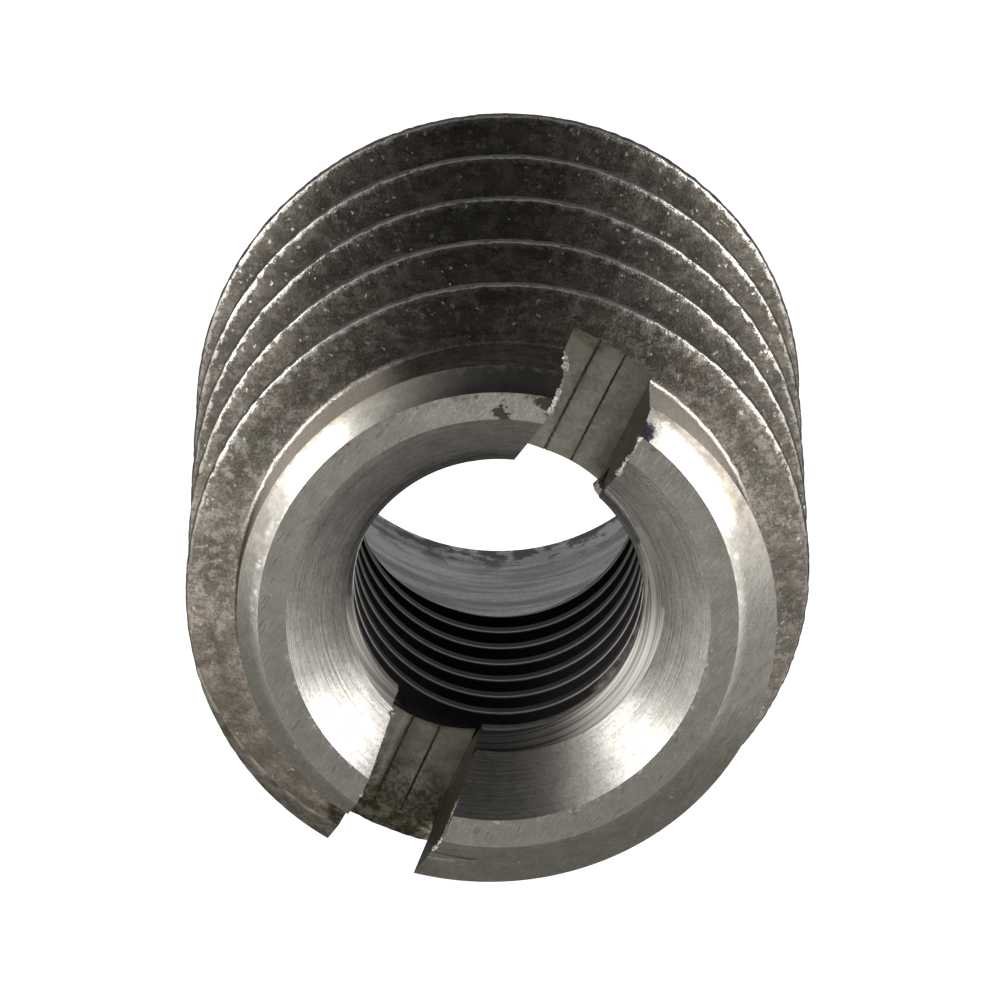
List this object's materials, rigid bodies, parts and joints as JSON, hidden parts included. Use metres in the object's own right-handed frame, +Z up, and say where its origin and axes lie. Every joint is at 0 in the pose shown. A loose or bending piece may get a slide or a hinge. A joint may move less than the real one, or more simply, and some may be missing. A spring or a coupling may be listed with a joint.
{
  "type": "threaded insert",
  "caption": "Turned steel screw-in insert with a coarse outer thread, a metric inner thread, a relief bore and a driving slot across one end.",
  "frame": {"origin": "centre of the plain end face, which stands on the surface", "axes": "+Z up the axis towards the slotted end; the driving slot runs 25 degrees clockwise from +Y"},
  "size_m": [0.0222, 0.0222, 0.03],
  "materials": {
    "turned_steel": "bare turned steel, dark mottled tarnish on the outer thread, bright worn edges, polished chamfer and countersink"
  },
  "bodies": {
    "root": {"insert": "turned_steel"}
  },
  "joints": []
}
